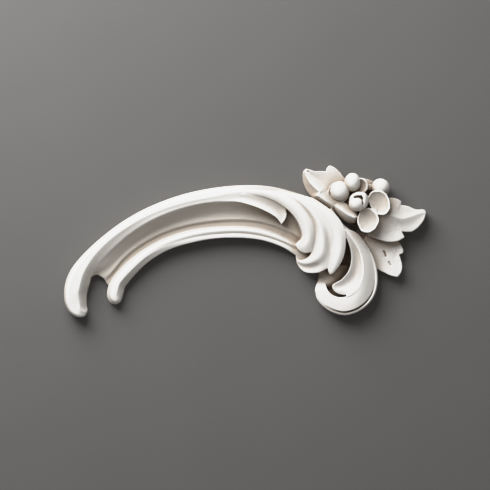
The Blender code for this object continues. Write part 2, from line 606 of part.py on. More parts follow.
def add_modifier(obj, name, operation, other):
    cut = obj.modifiers.new(name, "BOOLEAN")
    cut.operation = operation
    cut.solver = "EXACT"
    if isinstance(other, bpy.types.Collection):
        cut.operand_type = "COLLECTION"
        cut.collection = other
    else:
        cut.object = other


def build_ornament():
    for obj in list(bpy.data.objects):
        bpy.data.objects.remove(obj)
    carving = bpy.data.collections.new("carving")
    bpy.context.scene.collection.children.link(carving)
    build_cove(carving)
    build_bead(carving)
    build_curl(carving)
    build_second_lobe(carving)
    build_third_lobe(carving)
    build_fourth_lobe(carving)
    build_volute(carving)
    build_upper_leaf(carving)
    build_side_leaf(carving)
    build_lower_leaf(carving)
    build_flower(carving)
    ornament = build_rim(bpy.context.scene.collection)
    ornament.name = "ornament"
    ornament.data.materials.append(plaster())

    behind = bmesh.new()
    bmesh.ops.create_cube(behind, size=1)
    room = 2 * LENGTH * MM
    bmesh.ops.transform(behind, matrix=Matrix.Diagonal((2 * room, room, room, 1)), verts=behind.verts)
    bmesh.ops.translate(behind, vec=(0, room / 2, 0), verts=behind.verts)
    wall_side = add_object("wall_side", behind, bpy.context.scene.collection)
    add_modifier(ornament, "one casting", "UNION", carving)
    add_modifier(ornament, "flat back", "DIFFERENCE", wall_side)
    for guide in [*carving.objects, wall_side]:
        guide.hide_render = True
        guide.display_type = "WIRE"


build_ornament()
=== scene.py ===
"""The look of the cast plaster relief ornament: its carving in full, the plaster, the wall and the light.

The drawing is seen from the front, x to the right and z up, on a grid whose squares are about a millimetre.
A rail is a line of the carving: points (x, z, height), the height in millimetres off the back. A point given
twice in a rail is a sharp corner. The front faces -Y, and the back is the plane y = 0.
"""

import math

import bmesh
import bpy
import numpy as np
from mathutils import Matrix, Vector
from mathutils.geometry import interpolate_bezier


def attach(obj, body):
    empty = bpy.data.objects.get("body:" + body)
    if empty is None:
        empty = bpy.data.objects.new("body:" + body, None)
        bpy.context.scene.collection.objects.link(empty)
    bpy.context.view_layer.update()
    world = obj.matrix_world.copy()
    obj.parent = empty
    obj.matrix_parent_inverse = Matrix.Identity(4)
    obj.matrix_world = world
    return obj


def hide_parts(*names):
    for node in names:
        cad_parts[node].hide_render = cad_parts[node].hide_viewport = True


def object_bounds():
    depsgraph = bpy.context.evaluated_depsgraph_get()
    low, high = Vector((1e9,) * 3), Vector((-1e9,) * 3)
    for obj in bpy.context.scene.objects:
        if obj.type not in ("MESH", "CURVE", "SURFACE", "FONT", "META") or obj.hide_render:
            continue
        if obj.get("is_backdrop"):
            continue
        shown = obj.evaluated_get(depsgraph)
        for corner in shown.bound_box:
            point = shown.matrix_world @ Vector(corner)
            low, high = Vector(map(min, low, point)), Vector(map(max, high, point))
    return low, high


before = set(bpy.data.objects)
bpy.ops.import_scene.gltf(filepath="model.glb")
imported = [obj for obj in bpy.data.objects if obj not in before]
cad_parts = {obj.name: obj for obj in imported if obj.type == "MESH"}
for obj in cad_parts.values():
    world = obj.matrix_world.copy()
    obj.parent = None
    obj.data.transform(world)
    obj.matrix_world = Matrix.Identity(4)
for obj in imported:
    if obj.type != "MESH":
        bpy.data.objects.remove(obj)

MM = 0.001
CAD_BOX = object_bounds()

# The ornament's length on the drawing, and the middle of the flower there: the frame's origin is behind it
DRAWN_LENGTH = 362.0
FLOWER_X = 112.5
FLOWER_Z = 43.0
SCALE = (CAD_BOX[1].x - CAD_BOX[0].x) / (DRAWN_LENGTH * MM)

# Sizes in millimetres: a facet along a rail, the finest detail of the fused skin, how far the walls run
# behind the back before it is cut, how close two points count as one, the step beside the cove, a petal
FACET = 1.5
CAST_GRAIN = 0.5
CUT = 3.0
WELD = 0.02
STEP_WIDTH = 2.2
PETAL_THICKNESS = 1.9

# Facets between two rails, round a petal and over half a turn of its rim, and the most in the finished piece
ACROSS = 6
ROUND_FACETS = 64
RIM_FACETS = 12
MOST_TRIANGLES = 190000

# Points worked out on each span of a curve along the carving, on each span of one across it, and along a line
# that is pressed into it
SPAN_POINTS = 12
SECTION_POINTS = 6
LINE_POINTS = 24

# A face that looks backwards by at least this share belongs to the flat back
FLAT_BACK = 0.99

# Looking for hollows, to paint shade into the plaster's colour there: the size of the height map's cells, and
# the margin round it, in cells. Each point looks in so many directions, from the nearest to the farthest
# distance, in cells, each so many times the last
CELL = 0.9 * MM
MARGIN = 40
DIRECTIONS = 16
NEAREST, FARTHEST = 1.5, 26
STRIDE = 1.35

# The plaster's colour by how far it is shut in: its own off-white in the open, then painted shade, darker and
# warmer brown, in the hollows where shade falls
PLASTER_AND_PAINTED_SHADE = [
    (0.0, (0.88, 0.86, 0.825)), (0.03, (0.8, 0.775, 0.735)), (0.09, (0.6, 0.56, 0.515)),
    (0.2, (0.46, 0.41, 0.36)), (0.38, (0.38, 0.32, 0.26)), (0.7, (0.1, 0.062, 0.038)),
]
WALL_GREY = (0.132, 0.128, 0.124)
FLOOR_PALE = (0.6, 0.59, 0.575)

# Most patches of tone lie in this part of their range
PATCH_RANGE = (0.3, 0.7)

# The lights, from the ornament's middle, in metres, then their sizes and watts
LIGHTS = {
    "key": ((-0.5, -0.64, 1.0), 1.05, 31),
    "spill": ((-0.66, -0.4, 0.72), 0.5, 6),
    "back_fill": ((0.8, 1.4, 0.9), 1.0, 22),
}
ROOM_LIGHT = 0.21

# Tones of the picture: the brightest light that keeps shading, and the tone for each light up to it
BRIGHTEST = 2.6
TONES = [
    (0.2, 0.2), (0.45, 0.45), (0.68, 0.68), (0.85, 0.8), (1.1, 0.865), (1.5, 0.905), (2.0, 0.93),
    (2.6, 0.95),
]

# The outer edge of the C: round the tip of the long prong from its heel, then over the top
HEEL = (-157.7, -65.5)
LONG_TIP = [(-160, -70.7), (-165, -72.3), (-171, -71), (-176.5, -66.5)]
OUTER = [
    (-180, -58.5), (-181, -50), (-180.2, -40), (-176, -28), (-169, -17.5), (-157, -4.5), (-140, 10.5),
    (-120, 25), (-95, 38.5), (-65, 49.7), (-35, 56.5), (-5, 59.6), (25, 58.5), (55, 51), (75, 43),
]

# The lines of the moulding inside that edge: their distances inside it, up to its last station, and heights
CREST = (
    [14.5, 14.7, 15, 14, 11.8, 8.8, 7.2, 7, 7.2, 8, 8.6, 6.5, 7, 8, 9],
    [15, 16.4, 17, 17, 17, 17, 16, 12],
)
SHOULDER = (
    [21.3, 22.3, 23, 22.8, 20, 17.5, 15.5, 14, 13, 13, 13.7, 16.8, 18, 19, 20],
    [7.5, 7.8, 10.5, 13.6, 15.8, 16, 14, 9],
)
HOLLOW = ([21.5, 19.5, 18.4, 17.6, 17.8, 19, 21, 23, 25, 27], [9.4, 9.6, 9.4, 9.6])
COVE = ([27, 25, 23.6, 23, 24, 25.4, 27.6, 29.6, 31.6, 34], [5.6, 5.6, 6, 8])
STEP = ([32.3, 29.5, 28.5, 28.5, 30, 32, 33.7, 36, 38.5, 41], [6.2, 6.2, 6.8, 8.4])
FILLET = ([37.3, 35.5, 35, 35, 36.5, 39, 41.2, 43, 45.5, 48], [6.2, 6.2])
BEAD = ([42, 40.5, 39, 39, 40.5, 42.5, 44.6, 46.8, 49, 51], [11.6, 12, 11.8, 11])
QUIRK = ([46, 44, 42.4, 42.8, 44.3, 46.2, 48, 50.3, 51.7, 54], [12.2, 12, 10.4, 9.8, 9.4])
LIP = ([47.4, 45.4, 43.8, 44.2, 45.9, 47.9, 49.6, 51.8, 53.4, 56], [11, 11, 11.2, 11.2, 10.6])
INNER = ([52.5, 49.5, 47.5, 47, 48.8, 50.3, 52.4, 54.3, 56, 59], [7, 9.4, 11, 11, 10.4])


def spot(x, z, height=0.0):
    """The place of a point of the drawing, in metres."""
    return Vector(((x - FLOWER_X) * SCALE, -height, (z - FLOWER_Z) * SCALE)) * MM


def smooth_run(points, steps=SPAN_POINTS):
    """A curve through the points, in Bezier spans whose handles follow the chord of their neighbours."""
    before, after = [points[0]] + points[:-1], points[1:] + [points[-1]]
    ways = [(b - a).normalized() for a, b in zip(before, after)]
    curve = [points[0]]
    for start, end, leaving, arriving in zip(points, points[1:], ways, ways[1:]):
        reach = (end - start).length / 3
        curve += interpolate_bezier(start, start + leaving * reach, end - arriving * reach, end, steps)[1:]
    return curve


def length_of(curve):
    return sum((b - a).length for a, b in zip(curve, curve[1:]))


def evenly(curve, count):
    """COUNT + 1 points at even distances along a curve."""
    reached = [0.0]
    for a, b in zip(curve, curve[1:]):
        reached.append(reached[-1] + (b - a).length)
    found, k = [], 0
    for i in range(count + 1):
        distance = reached[-1] * i / count
        while k < len(curve) - 2 and reached[k + 1] < distance:
            k += 1
        share = (distance - reached[k]) / max(reached[k + 1] - reached[k], 1e-9)
        found.append(curve[k].lerp(curve[k + 1], min(share, 1.0)))
    return found


def runs_of(points):
    """The smooth curves between the sharp corners of a rail."""
    runs = [[points[0]]]
    for last, point in zip(points, points[1:]):
        if (point - last).length < 1e-6:
            runs.append([point])
        else:
            runs[-1].append(point)
    return [smooth_run(run) for run in runs]


def follow(runs, count):
    """COUNT + 1 points along the runs of a rail, one of them at each corner."""
    whole, past, done, found = sum(map(length_of, runs)), 0.0, 0, []
    for k, run in enumerate(runs):
        past += length_of(run)
        reached = count if k == len(runs) - 1 else max(done + 1, round(count * past / whole))
        found += evenly(run, reached - done)[(1 if found else 0):]
        done = reached
    return found


def close_to_back(bm):
    """Drops walls from the open edge of a front to behind the back, and closes them there."""
    bmesh.ops.remove_doubles(bm, verts=bm.verts, dist=WELD * MM)
    made = bmesh.ops.extrude_edge_only(bm, edges=[edge for edge in bm.edges if edge.is_boundary])
    for item in made["geom"]:
        if isinstance(item, bmesh.types.BMVert):
            item.co.y = CUT * MM
    bmesh.ops.holes_fill(bm, edges=[edge for edge in bm.edges if edge.is_boundary], sides=0)


def add_to(clay, bm):
    """Adds a closed form to the clay, faces outwards."""
    bmesh.ops.recalc_face_normals(bm, faces=bm.faces)
    mesh = bpy.data.meshes.new("form")
    bm.to_mesh(mesh)
    bm.free()
    clay.from_mesh(mesh)
    bpy.data.meshes.remove(mesh)


def section(points, swells, sharp):
    """A line across the rails, at one place along them. It bends sharply at the rails named sharp."""
    runs = [[points[0]]]
    for k, (left, right, swell) in enumerate(zip(points, points[1:], swells)):
        if swell:
            width = math.hypot(right.x - left.x, right.z - left.z)
            runs[-1].append((left + right) / 2 - Vector((0, swell * width, 0)))
        runs[-1].append(right)
        if k + 1 in sharp and k + 1 < len(swells):
            runs.append([right])
    found = []
    for run in runs:
        panels = sum(1 for point in run if any(point is rail for rail in points)) - 1
        found += evenly(smooth_run(run, SECTION_POINTS), ACROSS * max(panels, 1))[(1 if found else 0):]
    return found


def carve(clay, rails, swells, sharp=()):
    """A form whose front runs from rail to rail. A swell is how far the middle between two rails stands over
    its chord, as a share of its width, or under it if negative."""
    curves = [runs_of([spot(*point) for point in rail]) for rail in rails]
    along = max(4, math.ceil(max(sum(map(length_of, runs)) for runs in curves) / (FACET * MM)))
    lines = [follow(runs, along) for runs in curves]
    sections = [section([line[i] for line in lines], swells, sharp) for i in range(along + 1)]
    across = len(sections[0]) - 1
    bm = bmesh.new()
    bmesh.ops.create_grid(bm, x_segments=along, y_segments=across, size=1)
    for vert in bm.verts:
        vert.co = sections[round((vert.co.x + 1) / 2 * along)][round((vert.co.y + 1) / 2 * across)]
    close_to_back(bm)
    add_to(clay, bm)


def plate(clay, height, outline):
    """A flat ground inside the outline, at one height."""
    bm = bmesh.new()
    bm.faces.new([bm.verts.new(spot(x, z, height)) for x, z in outline])
    close_to_back(bm)
    add_to(clay, bm)


def standing(x, z, height, tilt_x=0, tilt_z=0, stretch=(1, 1, 1)):
    """Stands a shape that opens along its own +Z on the drawing's (x, z, height), facing the front. The tilts
    are the degrees by which it then looks towards +x and towards +z."""
    tilt = Matrix.Rotation(math.radians(tilt_x), 4, "Y") @ Matrix.Rotation(math.radians(-tilt_z), 4, "X")
    to_front = Matrix.Rotation(math.radians(90), 4, "X")
    return Matrix.Translation(spot(x, z, height)) @ to_front @ tilt @ Matrix.Diagonal((*stretch, 1))


def ball(clay, radius, place):
    bm = bmesh.new()
    bmesh.ops.create_icosphere(bm, subdivisions=5, radius=radius * SCALE * MM, matrix=place)
    add_to(clay, bm)


def petal(clay, reach, depth, dish, place):
    """A thick petal with a round rim, its inside a shallow dish. REACH holds its radii at even bearings from
    its own +x, and its place is the middle of its rim."""
    wall, steps = PETAL_THICKNESS / max(reach), ROUND_FACETS // 4
    shares = [i / steps for i in range(steps + 1)]
    turns = [math.pi / 2 * k for k in shares]
    profile = [((1 - wall / 2) * math.sin(turn), -depth * math.cos(turn)) for turn in turns]
    round_rim = [math.pi * (i / RIM_FACETS - 0.25) for i in range(RIM_FACETS + 2)]
    half = PETAL_THICKNESS / 2
    profile += [(1 - wall / 2 + wall / 2 * math.cos(a), half * math.sin(a)) for a in round_rim]
    profile += [((1 - wall) * k, -dish * (1 - k ** 2)) for k in reversed(shares)]
    bm = bmesh.new()
    verts = [bm.verts.new((x, 0, z * MM)) for x, z in profile]
    edges = [bm.edges.new(pair) for pair in zip(verts, verts[1:])]
    bmesh.ops.spin(
        bm, geom=verts + edges, axis=(0, 0, 1), cent=(0, 0, 0), angle=math.tau, steps=ROUND_FACETS,
        use_merge=True,
    )
    bmesh.ops.remove_doubles(bm, verts=bm.verts, dist=0.001)
    for vert in bm.verts:
        bearing = math.atan2(vert.co.y, vert.co.x) / math.tau % 1 * len(reach)
        before, mix = int(bearing), (1 - math.cos(math.pi * (bearing % 1))) / 2
        radius = reach[before % len(reach)] * (1 - mix) + reach[(before + 1) % len(reach)] * mix
        vert.co.xy *= radius * SCALE * MM
    bmesh.ops.transform(bm, matrix=place, verts=bm.verts)
    add_to(clay, bm)


def inset(station, distance):
    """The point that lies the distance inside the outer edge of the C at a station."""
    before, here, after = (Vector(OUTER[min(max(station + k, 0), len(OUTER) - 1)]) for k in (-1, 0, 1))
    way = (after - before).normalized()
    return here + Vector((way.y, -way.x)) * distance


def graded(values, share):
    """The value at a share of the way along evenly spaced values."""
    place = share * (len(values) - 1)
    k = max(min(int(place), len(values) - 2), 0)
    return values[k] + (values[min(k + 1, len(values) - 1)] - values[k]) * (place - k)


def moulding_line(line, lead=(), further=0.0, lower=0.0, start=0):
    """A rail of the moulding: its lead-in points, then a point for each of its stations from START on."""
    distances, heights = line
    rail = list(lead)
    for k in range(start, len(distances)):
        height = graded(heights, k / (len(distances) - 1)) - lower
        rail.append((*inset(len(OUTER) - len(distances) + k, distances[k] + further), height))
    return rail


def inside(rail, distances):
    """A rail moved to the right of its own way, by distances spread evenly over it."""
    points = [Vector((x, z)) for x, z, _ in rail]
    ways = [(b - a).normalized() for a, b in zip([points[0]] + points[:-1], points[1:] + [points[-1]])]
    moved = []
    for k, (point, way) in enumerate(zip(points, ways)):
        distance = graded(distances, k / (len(points) - 1))
        moved.append((point.x + way.y * distance, point.y - way.x * distance, rail[k][2]))
    return moved


def carve_rim(clay):
    heel = (*HEEL, 9)
    outer = [heel] + [(x, z, 9.5) for x, z in LONG_TIP + OUTER]
    brow_heights = [9, 14.4, 15.2, 15.6, 15.8, 15.8, 15.4, 14, 8]
    brow = [
        (x, z, graded(brow_heights, k / (len(outer) - 1)))
        for k, (x, z, _) in enumerate(inside(outer, [0, 2.6, 3.4, 3.6, 3.4, 3]))
    ]
    crest = moulding_line(CREST, [heel, (-160.3, -67, 12), (-164.6, -63.6, 15)])
    inner = moulding_line(SHOULDER, [heel, (-158.6, -61, 7.5)])
    carve(clay, [outer, brow, crest, inner], [0, 0.01, -0.03], sharp=(2,))


def carve_cove(clay):
    rails = [
        moulding_line(SHOULDER, [(-162, -33, 6)], further=-6.0, lower=1.5, start=4),
        moulding_line(SHOULDER, [(-153.4, -31.6, 8.4)], further=-0.2, lower=0.3, start=4),
        moulding_line(HOLLOW, [(-151, -30.1, 7.4)]),
        moulding_line(COVE, [(-147.2, -29.8, 6.4)]),
        moulding_line(STEP, [(-141.2, -33.6, 5.8)]),
        moulding_line(STEP, [(-139.3, -37.5, 4.2)], further=STEP_WIDTH, lower=2.4),
        moulding_line(FILLET, [(-134, -44, 6)], further=3.0),
    ]
    carve(clay, rails, [0, 0, 0, 0, 0, -0.04], sharp=(1, 4, 5))


def carve_bead(clay):
    heel = (-124.3, -56, 7)
    round_tip = [
        heel, (-126.3, -58, 7), (-130.5, -59.4, 7), (-135.3, -57, 7), (-137.8, -52, 7), (-138, -47, 7),
        (-136.7, -41, 7),
    ]
    tip_bead = [heel, (-128.6, -56.6, 10.4), (-132.3, -53.5, 11.2), (-133, -48.5, 11.4), (-131.5, -43, 11.4)]
    tip_quirk = [
        heel, (-126.6, -54.8, 10.4), (-128.4, -50.6, 11.8), (-127.9, -46, 12.2), (-126.4, -41.5, 12.2),
    ]
    rails = [
        moulding_line(FILLET, round_tip),
        moulding_line(BEAD, tip_bead),
        moulding_line(QUIRK, tip_quirk),
        moulding_line(LIP, [heel, (-125.7, -54.4, 9.6), (-126.6, -50.2, 10.6), (-125.9, -45.4, 10.8)]),
        moulding_line(INNER, [heel, (-123, -52, 6.8), (-121.6, -47, 7)]),
    ]
    carve(clay, rails, [0.04, 0, 0, 0], sharp=(2,))


def carve_curl(clay):
    """The first small lobe of the acanthus, which springs from the rim's inner edge over the cove."""
    upper = [
        (-52, 46, 10), (-30, 49.6, 13.4), (-10, 51.2, 15.8), (5, 50.4, 16.8), (17, 47.7, 17), (30, 43, 17),
        (35.6, 40.6, 17), (39.6, 37.4, 16.8), (41.4, 33, 16.6), (41, 27.6, 16.4), (36.4, 20.6, 16),
    ]
    lower = [
        (-52, 41, 9), (-30, 43.9, 13), (-17, 44.2, 15.6), (-5, 42.8, 17.2), (10, 38.4, 18),
        (22, 33.2, 17.6), (30, 28.4, 17), (33.6, 24.8, 16.4), (36.4, 20.6, 16),
    ]
    carve(clay, [upper, lower], [-0.13])


def carve_second_lobe(clay):
    """The sweep that leaves the rim and ends in the lobe at the end of the cove."""
    foot = [
        (-52, 45, 6), (-10, 49, 9), (15, 46.5, 10), (30, 41.8, 10), (38.2, 37.2, 8), (44.7, 31.6, 5.5),
        (50.4, 24.7, 5), (54.2, 17, 5), (56.2, 10.6, 5), (55.6, 6.8, 5), (53.2, 3.8, 6), (50.6, 0.6, 9),
    ]
    left = [
        (-52, 46, 9), (-25, 50, 13), (0, 51.7, 16.6), (17, 48.8, 17.9), (30, 44, 18.4), (39, 38.4, 18.6),
        (46, 32.4, 18.6), (52, 25, 18.4), (56, 17, 18), (57.9, 10.4, 17.4), (57.4, 6.4, 16.8),
        (54.8, 3, 16), (50.6, 0.6, 15),
    ]
    middle = [
        (-52, 49, 8), (-10, 54.4, 14.6), (20, 52.6, 19), (40, 44.2, 20.3), (54, 33.5, 20.8),
        (62, 21.5, 20.6), (64, 11, 19.8), (61.5, 2.5, 18.6), (56.5, -1.2, 16.8), (50.6, 0.6, 15),
    ]
    right = [
        (-52, 51, 5), (-10, 57, 7), (20, 55.6, 12), (40, 50, 18), (55, 41, 19.2), (66, 29, 18.8),
        (71.2, 19, 18.2), (71.8, 10, 17.4), (70, 1.5, 16.6), (67.3, -6.6, 15.8), (67.3, -6.6, 15.8),
        (61, -8, 15.6), (55.5, -6.3, 15.2), (52.2, -3, 15), (50.6, 0.6, 15),
    ]
    carve(clay, [foot, left, middle, right], [-0.06, 0, 0], sharp=(1,))


def carve_third_lobe(clay):
    """The lobe that runs down the middle and curls to the left, over a hollow."""
    lip = [
        (17, 53, 13), (38, 49.5, 17), (54, 41, 18.6), (64, 30, 18.4), (68.8, 20, 17.8), (69.4, 10, 17),
        (68.2, 1, 16.2), (66.6, -7, 15.4), (63.8, -11.6, 14.4), (59.3, -14.6, 13.2), (55, -15.4, 12.2),
        (51.6, -13.4, 11.6),
    ]
    ridge = [
        (20, 54, 13), (42, 50, 18.4), (57, 42, 20.4), (67.6, 32, 21.2), (74, 22, 21.3), (76.8, 12.5, 21),
        (77.4, 2, 20.3), (75.8, -7, 19.2), (71.5, -13.6, 17.6), (65, -17, 15.8), (58.5, -17.8, 14),
        (53.5, -16.4, 12.6), (51.6, -13.4, 11.6),
    ]
    channel = [
        (25, 54.6, 13), (45, 50.2, 18.4), (61, 42.2, 20.6), (73, 31, 21), (79.8, 19.3, 20.2),
        (82.5, 8, 18.8), (83, -2, 17.9), (81.6, -11.5, 17.2), (77, -18, 15.8), (69.5, -21.2, 13.8),
        (61.5, -21.9, 12.4), (55, -19.2, 11.6), (51.6, -14.2, 11.4),
    ]
    outline = [
        (30, 54.6, 13), (50, 49.8, 18.4), (67, 40.4, 20.8), (80, 28, 21.2), (86.6, 14.5, 20.4),
        (88.4, 2, 18.8), (87, -9, 17.6), (84.5, -18, 16.6), (82.6, -23, 15.8), (82.6, -23, 15.8),
        (79, -25, 15.2), (74, -27.3, 14.8), (67, -28, 14.2), (60, -27, 13.4), (54.8, -22.8, 12.4),
        (51.8, -17.5, 11.8), (51.6, -14.8, 11.4),
    ]
    carve(clay, [lip, ridge, channel, outline], [0, 0, 0])


def carve_fourth_lobe(clay):
    """The lobe along the right of the acanthus, beside the volute."""
    channel = [
        (17, 54.4, 12), (45, 49.8, 18), (63, 41.5, 20.4), (76, 30, 21), (83, 18.6, 20), (85.2, 7, 18.4),
        (85, -5, 17.5), (83.8, -15, 16.7), (82.8, -22.5, 16), (83.5, -27, 15.8), (85, -29.3, 15.6),
    ]
    crest = [
        (20, 55.6, 11), (48, 50.3, 17.4), (68, 41, 20.4), (82, 30, 21.6), (91.3, 17, 21.6), (94.6, 4, 21.2),
        (93.8, -8, 20.4), (90.5, -18.5, 19), (87.3, -25.6, 17.2), (85, -29.3, 15.6),
    ]
    edge = [
        (23, 56.6, 10), (38, 54.4, 12), (52, 51, 14), (63, 48.2, 16), (70, 45.6, 17), (77.5, 40.6, 18.4),
        (85, 35.2, 19.4), (90, 30.6, 20), (95.4, 24, 20.4), (99, 17, 20.4), (100.3, 9, 19.8),
        (100.4, 0, 19.2), (98.8, -10, 18.6), (95, -19, 18), (90.3, -25.5, 17), (87.3, -28.6, 16.2),
        (85, -29.3, 15.6),
    ]
    carve(clay, [channel, crest, edge], [0, 0])


def carve_acanthus_ground(clay):
    hollow = [
        (52.5, 0.5), (58, 5), (59.5, 11), (58, 20), (66, 30), (72, 0), (70, -10), (58, -17.5), (52.4, -17),
        (51, -13), (50.8, -6),
    ]
    plate(clay, 10.4, hollow)
    body = [(60, 30), (78, 30), (90, 12), (94, -4), (91, -16), (85, -22), (76, -18), (70, -8)]
    plate(clay, 8, body)
    floor = [
        (97, 20), (106, 4), (109, -15), (107, -40), (104, -54), (88, -53), (79, -44), (75, -37),
        (73.5, -31), (75, -22), (92, -20), (96, 0), (90, 18),
    ]
    plate(clay, 2.5, floor)
    web = [
        [(74, -22, 8), (74.6, -29, 6.5), (73.4, -34.6, 6.6), (73, -41, 8)],
        [(80, -20, 9), (80.5, -29, 7.4), (79.4, -35, 7.4), (77.4, -41, 8.6)],
        [(89, -20, 8.4), (90.6, -29, 7.8), (88, -35.4, 7.2), (81.6, -41, 7)],
        [(103, -20, 5), (100, -30, 4.4), (94, -37.6, 4), (84, -43, 4)],
    ]
    carve(clay, web, [0, 0, 0])


def carve_volute(clay):
    """The strap that curls into the volute, its lip, and the tongue that lies in its eye."""
    edge = [
        (86, 37, 17), (92, 28.6, 18.4), (98, 20.6, 18.4), (104, 15.6, 17), (111, 12.4, 15),
        (119, 4.5, 13.4), (126, -6.5, 12.8), (130.7, -18.5, 12.6), (132.7, -31, 12.4), (132, -42.5, 12.6),
        (128, -53, 13.2), (121, -61.3, 14), (111.5, -67.3, 14.6), (100, -70.2, 14.6), (88, -67.7, 14.4),
        (78, -61.5, 14), (72, -54, 13.6), (70, -45.5, 12.6), (71.4, -39.6, 10), (73.6, -35.8, 6),
    ]
    ridge = [
        (84, 33, 19), (91, 24.5, 20.4), (98, 16.5, 20.4), (105, 8.6, 19.8), (111, 0.6, 19.2),
        (115.2, -8, 18.6), (117.5, -17, 18), (117.8, -26, 17.8), (116.3, -35, 17.4), (112.5, -43, 16.6),
        (107, -48.6, 15.6), (101.2, -51.4, 14.8), (95, -52.3, 14.4), (89.5, -51, 14.2), (85, -48, 13.8),
        (82, -43.6, 13), (80.8, -39.6, 10.4), (80.6, -36, 6),
    ]
    carve(clay, [ridge, inside(edge, [0, 0, 0, 0.6, 2.6, 3.8, 4, 4, 2.6, 0.2, 0])], [0.02])
    hidden, foot, top = ([(x, z, height) for x, z, _ in edge[3:-2]] for height in (8, 10, 13.2))
    lip = [inside(hidden, [7]), inside(foot, [3]), inside(top, [2.3]), inside(top, [0.7]), foot]
    carve(clay, lip, [0, 0, 0.1, 0], sharp=(1,))
    left = [
        (90, 23, 17), (95, 17, 19.6), (99.6, 10, 19.4), (103.3, 2, 18.4), (105.6, -6, 17.4),
        (106.2, -14, 16.8), (104.9, -22, 16.6), (101.5, -29, 16.2), (96.3, -34.5, 15.6), (90.5, -38, 14.6),
        (87.3, -40.6, 13.4), (88.3, -44.6, 13), (92, -48, 13.2), (96.5, -49.5, 13.8), (101, -49.9, 14.6),
    ]
    middle = [
        (94, 24, 18), (100, 14, 19.4), (106.4, 3, 18), (110, -6.5, 16), (111.3, -16.5, 14.8),
        (110.3, -26, 14.2), (106.5, -34.5, 13.8), (100.5, -40.5, 13.6), (94.8, -43.6, 13.5),
        (92.2, -45, 13.5), (95.5, -47, 13.7), (101, -48.4, 14.6),
    ]
    right = [
        (97, 21, 18), (104, 11, 19.8), (110.5, 2.6, 19.4), (115.2, -6, 18.8), (117.9, -16, 18.1),
        (118.5, -26, 17.6), (117, -35, 17.3), (113, -43.3, 16.8), (107.5, -49, 16.2), (101.6, -52, 15.6),
    ]
    carve(clay, [left, middle, right], [0, 0])


def carve_upper_leaf(clay):
    foot = [
        (91, 32.6, 13.6), (83.8, 36.6, 13.4), (77, 40.8, 12.6), (70, 45.4, 11), (65, 50.2, 8),
        (61, 56.4, 5.5), (58.6, 62.6, 5), (57.8, 69, 5), (58.2, 73.4, 8), (61, 76.3, 14),
    ]
    low = [
        (94, 35.5, 15.5), (87.6, 39.2, 17.4), (80, 44, 18.8), (72.6, 49.6, 19.4), (72.6, 49.6, 19.4),
        (74.6, 53, 18.6), (74.6, 53, 18.8), (69.5, 57.6, 17.4), (65, 62.3, 16.4), (62, 67.5, 15.6),
        (60.8, 72.5, 15), (61, 76.3, 14),
    ]
    rib = [(104, 38, 14), (95, 46, 15), (87, 54, 14.8), (77, 63, 13.2), (68, 69, 13), (61, 76.3, 14)]
    top = [
        (102, 62, 15.6), (98, 68.5, 15), (93.5, 74, 14.4), (88.5, 77.9, 14), (84.3, 79.3, 13.8),
        (82, 77.2, 13.6), (82, 77.2, 13.6), (80.8, 73.4, 13.4), (80.8, 73.4, 13.4), (76, 73.8, 13.6),
        (70, 73.6, 14), (65, 75.2, 14.4), (61, 76.3, 14),
    ]
    carve(clay, [foot, low, rib, top], [-0.03, -0.02, -0.03], sharp=(1,))


def carve_side_leaf(clay):
    top = [
        (130, 45, 15), (144, 47, 15), (151, 46.4, 14.6), (156, 43.7, 14), (156, 43.7, 14), (156, 40, 13.8),
        (156, 40, 13.8), (163, 38.7, 12.8), (171, 35.5, 11.8), (179.3, 35.2, 11), (181, 32.5, 11),
    ]
    rib = [
        (115, 28, 18), (144, 30, 18.6), (156, 26.2, 16.6), (166, 28.6, 14.4), (174, 31.4, 12.6),
        (181, 32.5, 11),
    ]
    low = [
        (124, 9, 14), (131, 6.6, 14.6), (142, 3.4, 14.8), (153, 4.2, 14.6), (159.4, 7.7, 14.2),
        (159.4, 7.7, 14.2), (156.4, 13.6, 13.8), (156.4, 13.6, 13.8), (166, 13.3, 13.2), (173, 17.8, 12.6),
        (179, 25.5, 11.6), (181, 32.5, 11),
    ]
    carve(clay, [top, rib, low], [-0.03, -0.07], sharp=(1,))


def carve_lower_leaf(clay):
    top = [
        (124, 14, 8), (140, 9, 8.4), (153, 4, 8.8), (157.5, -3, 9.2), (158.2, -7.5, 9.2), (154, -9.6, 9),
        (154, -9.6, 9), (156, -15, 9.4), (157.2, -22, 9.8), (156, -27.5, 10), (152.8, -32, 10),
    ]
    rib = [(118, 2, 8.6), (138, -8, 8.8), (146, -17, 9.2), (151, -26, 9.8), (152.8, -32, 10)]
    low = [(122, -12, 8.8), (132, -23.3, 9.2), (139, -27.3, 9.8), (146, -30.5, 10.2), (152.8, -32, 10)]
    carve(clay, [top, rib, low], [-0.05, -0.03])
    plate(clay, 4, [(118, 24), (140, 12), (134, -14), (122, -6), (112, 16)])


